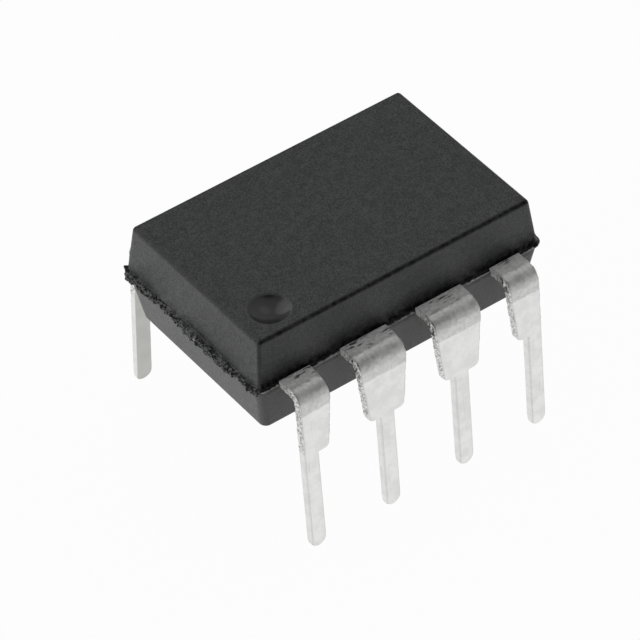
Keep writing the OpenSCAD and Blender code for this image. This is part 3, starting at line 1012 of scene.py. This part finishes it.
# The strip's middle line: a flat, a bend and a leaning tail, and the way out of its outer face
def stripAt(s):
    if s <= lead["bendY"]:
        return Vector((s, lead["midZ"])), Vector((0.0, 1.0))
    turn = min((s - lead["bendY"]) / lead["midR"], math.pi / 2 - splay)
    out = Vector((math.sin(turn), math.cos(turn)))
    place = Vector((lead["bendY"], lead["bendZ"])) + out * lead["midR"]
    past = s - lead["bendY"] - lead["arcLen"]
    if past > 0:
        place += Vector((math.sin(splay), -math.cos(splay))) * past
    return place, out


# The distance along the strip at which its tail reaches a height
def stripToZ(z):
    endZ = lead["bendZ"] + lead["midR"] * math.sin(splay)
    return lead["bendY"] + lead["arcLen"] + (endZ - z) / math.cos(splay)


# Rows of the stamped outline from the finger's tip to the tail's tip: the distance along the strip,
# and its two sides. An end lead has a shoulder only on its inner side.
def leadRows(end):
    half, ledge, tail = lead["shoulderW"] / 2, lead["ledgeW"] / 2, lead["tailW"] / 2
    taper = math.atan((half - ledge) / lead["bendZ"])
    cornerX = ledge - lead["ledgeR"] * (1 - math.sin(taper)) / math.cos(taper)
    ledgeTop = lead["ledgeR"] * (1 - math.sin(taper))
    rows = []

    def shoulder(s, width):
        rows.append((s, -width, tail if end else width))

    # inside the body
    if end:
        centre = 1.5 * chip["pitch"]
        tipX, tipY, armY = lead["tip"]
        armW = armY - tipY
        inner = centre - half
        outer = inner + lead["neckW"]
        for y, left, right in ((tipY, tipX, outer - armW), (armY - lead["jump"], tipX, outer),
                               (armY, inner - armW, outer), (armY + armW, inner, outer),
                               (lead["rootY"] - lead["jump"], inner, outer)):
            rows.append((y, left - centre, right - centre))
    else:
        neckY = lead["rootY"] - lead["neckLen"]
        for y, wide in ((lead["padGapY"], lead["fingerW"]), (neckY - lead["jump"], lead["fingerW"]),
                        (neckY, lead["neckW"]), (lead["rootY"] - lead["jump"], lead["neckW"])):
            rows.append((y, -wide / 2, wide / 2))
    # the flat, the bend and the tapering shoulder
    for i in range(lead["flatRows"]):
        shoulder(lerp(lead["rootY"], lead["bendY"], i / lead["flatRows"]), half)
    for i in range(lead["bendRows"]):
        shoulder(lead["bendY"] + lead["arcLen"] * i / lead["bendRows"], half)
    shoulderS, ledgeS = stripToZ(lead["bendZ"]), stripToZ(ledgeTop)
    for i in range(lead["shoulderRows"]):
        t = i / lead["shoulderRows"]
        shoulder(lerp(shoulderS, ledgeS, t), lerp(half, cornerX + lead["ledgeR"] * math.cos(taper), t))
    for i in range(lead["cornerRows"] + 1):
        turn = lerp(taper, math.pi / 2, i / lead["cornerRows"])
        shoulder(stripToZ(lead["ledgeR"] * (1 - math.sin(turn))), cornerX + lead["ledgeR"] * math.cos(turn))
    # the ledge, its fillet and the tail
    for i in range(lead["filletRows"] + 1):
        turn = math.radians(90 * i / lead["filletRows"])
        width = tail + lead["tailFillet"] * (1 - math.sin(turn))
        shoulder(stripToZ(-lead["tailFillet"] * (1 - math.cos(turn)) - lead["jump"]), width)
    tailTop = stripToZ(-lead["tailFillet"] - 0.02)
    tipTop = stripToZ(lead["endZ"] + lead["tipR"])
    for i in range(lead["tailRows"]):
        rows.append((lerp(tailTop, tipTop, i / lead["tailRows"]), -tail, tail))
    for i in range(lead["tipRows"] + 1):
        turn = math.radians(90 * i / lead["tipRows"]) * 0.999      # the end keeps a little width
        width = tail - lead["tipR"] * (1 - math.cos(turn))
        rows.append((tipTop + lead["tipR"] * math.sin(turn), -width, width))
    return rows


# How far a stamped side is torn at one spot, by the dam bar's cut and the shear
def tornEdge(s, through, side, number):
    fromBody = s - chip["bodyWidth"] / 2
    cutZone = smoothStep(*lead["cutFrom"], fromBody) * (1 - smoothStep(*lead["cutTo"], fromBody))
    rough = lead["shear"] + lead["burr"] * cutZone
    tear = wander(s, side, through, 0.12, number) + 0.8 * wander(s, side, through * 2, 0.05, number + 9)
    return rough * tear, cutZone


def makeLead(number):
    near = number <= chip["perRow"]
    column = number - 2.5 if near else 6.5 - number      # in pitches from the middle of the row
    sideX, sideY = (1 if column > 0 else -1), (-1 if near else 1)
    centre = abs(column) * chip["pitch"]
    rows = leadRows(abs(column) > 1)
    stops = outlineStops(*lead["ring"])
    bm = bmesh.new()
    stripLayer = bm.verts.layers.float_vector.new("strip")
    marks = {name: bm.verts.layers.float.new(name) for name in ("cut", "flat", "burnished", "roll", "inner")}
    tipS = stripToZ(lead["endZ"])
    strips = []

    def places():
        for s, left, right in rows:
            middle, half = (left + right) / 2, (right - left) / 2
            spot, outwards = stripAt(s)
            coined = clamp((s - tipS + lead["tipTaper"]) / lead["tipTaper"])
            thick = lerp(chip["frameT"], lead["tipT"], coined)
            rolled, inner = min(lead["rollR"], half * 0.6, thick * 0.4), min(lead["innerR"], half * 0.6)
            outside = s > lead["outside"]
            ring = []
            for stop in stops:
                flat, out = outlineAt(stop, half, thick / 2, inner, rolled)
                across, through = middle + flat.x, flat.y
                if abs(out.x) > 0.01 and outside:
                    across += out.x * tornEdge(s, through, math.copysign(sideX, out.x), number)[0]
                dent = lead["dent"] * wander(across, s, through, 0.5, number + 40) if outside else 0.0
                place = spot + outwards * (through + dent * abs(out.y))
                ring.append(Vector((sideX * (centre + across), sideY * place.x, place.y)))
                strips.append((across, s, through, out))
            yield ring

    rings = loftRings(bm, len(stops), places())
    burnEnd = stripToZ(lead["burnishedTo"])
    for v, (across, s, through, out) in zip((v for ring in rings for v in ring), strips):
        v[stripLayer] = Vector((across + lead["stripApart"] * number, s, through)) * mm
        # painted shade on the faces that face the body
        v[marks["inner"]] = smoothStep(0.3, 0.9, -out.y)
        v[marks["flat"]] = 1 - smoothStep(lead["bendY"] - 0.05, lead["bendY"] + 0.12, s)
        past = s - burnEnd + 0.03 * wander(across, s, 0, 0.2, number)
        v[marks["burnished"]] = 1 - smoothStep(-0.03, 0.03, past)
        if s > lead["outside"]:
            _, cutZone = tornEdge(s, 0, 1, number)
            v[marks["cut"]] = smoothStep(0.35, 0.95, abs(out.x)) * lerp(*lead["cutMask"], cutZone)
            v[marks["roll"]] = lerp(*lead["rollMask"], cutZone) * math.sin(math.pi * clamp(abs(out.x)))
    for ring in (rings[0], rings[-1]):
        bmesh.ops.contextual_create(bm, geom=ringEdges(ring))
    bmesh.ops.recalc_face_normals(bm, faces=bm.faces)
    for face in bm.faces:
        face.smooth = True
    for edge in bm.edges:
        if len(edge.link_faces) == 2 and edge.calc_face_angle(0) > math.radians(lead["sharp"]):
            edge.smooth = False
    finishPiece(bm, f"stamped_lead_{number}", f"lead_{number}", [tin])


leadCount = 2 * chip["perRow"]
for number in range(1, leadCount + 1):
    makeLead(number)
print("leads made")


sealedLooks = {
    "frame": ((0.62, 0.52, 0.42), (0.42, 0.33, 0.25)),
    "paste": ((0.33, 0.33, 0.31), (0.58, 0.58, 0.56)),
    "circuit": ((0.16, 0.20, 0.27), (0.26, 0.25, 0.30), (0.45, 0.46, 0.44)),
    "gold": ((0.78, 0.56, 0.20), (0.90, 0.69, 0.30)),
}


def makeFrameMetal():
    material, tree, shader = newMaterial("frameMetal", {"Metallic": 1.0})
    rolled = onPiece(tree, placeGroup(tree, metalStreaks, Across=18000.0, Along=700.0, Patch=1500.0))
    base = mixColours(tree, rolled.outputs["Mask"], *sealedLooks["frame"])
    tree.links.new(base, shader.inputs["Base Color"])
    rough = ranged(tree, rolled, "Height", 0.3, 0.7, 0.28, 0.5)
    link(tree, rough, 0, shader, "Roughness")
    addRelief(tree, shader, rolled, "Height", 0.000005, 0.3)
    return material


def makeAdhesive():
    material, tree, shader = newMaterial("silverPaste", {"Metallic": 0.0, "Specular IOR Level": 0.6})
    grain = onPiece(tree, placeGroup(tree, fineGrain, Fine=30000.0, Coarse=5000.0, Share=0.4))
    tone = ranged(tree, grain, "Tone", 0.4, 0.65)
    base = mixColours(tree, tone.outputs[0], *sealedLooks["paste"])
    tree.links.new(base, shader.inputs["Base Color"])
    rough = ranged(tree, grain, "Height", 0.3, 0.7, 0.45, 0.75)
    link(tree, rough, 0, shader, "Roughness")
    addRelief(tree, shader, grain, "Height", 0.000008, 0.6)
    return material


# Polished silicon with blocks of fine wiring under clear glass
def makeSilicon():
    settings = {"Metallic": 0.7, "Coat Weight": 0.4, "Coat Roughness": 0.08}
    material, tree, shader = newMaterial("silicon", settings)
    first, second, gaps = [(*colour, 1.0) for colour in sealedLooks["circuit"]]
    layout = {"offset": 0.37, "squash": 0.7, "squash_frequency": 3}
    blocks = onPiece(tree, addNode(tree, "ShaderNodeTexBrick", layout, {
        "Scale": 5200.0, "Color1": first, "Color2": second, "Mortar": gaps, "Mortar Size": 0.03,
        "Row Height": 0.6, "Brick Width": 1.1}))
    lines = onPiece(tree, addNode(tree, "ShaderNodeTexWave", None, {"Scale": 26000.0, "Distortion": 0.0}))
    shaded = addNode(tree, "ShaderNodeMix", {"data_type": "RGBA", "blend_type": "MULTIPLY"}, {0: 0.35})
    link(tree, blocks, "Color", shaded, 6)
    link(tree, lines, "Color", shaded, 7)
    link(tree, shaded, 2, shader, "Base Color")
    rough = ranged(tree, blocks, "Fac", 0.0, 1.0, 0.12, 0.3)
    link(tree, rough, 0, shader, "Roughness")
    return material


def makeGold():
    material, tree, shader = newMaterial("goldWire", {"Metallic": 1.0})
    drawn = onPiece(tree, placeGroup(tree, fineGrain, Fine=60000.0, Coarse=9000.0, Share=0.5))
    tone = ranged(tree, drawn, "Tone", 0.35, 0.65)
    base = mixColours(tree, tone.outputs[0], *sealedLooks["gold"])
    tree.links.new(base, shader.inputs["Base Color"])
    rough = ranged(tree, drawn, "Tone", 0.3, 0.7, 0.18, 0.34)
    link(tree, rough, 0, shader, "Roughness")
    return material


sealed = {
    "die_pad": makeFrameMetal(),
    "die_attach": makeAdhesive(),
    "die": makeSilicon(),
}
gold = makeGold()
for number in range(1, leadCount + 1):
    sealed[f"wire_{number}"] = gold
for nodeName, material in sealed.items():
    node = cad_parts[nodeName]
    node.data.materials.clear()
    node.data.materials.append(material)
print("sealed parts dressed")
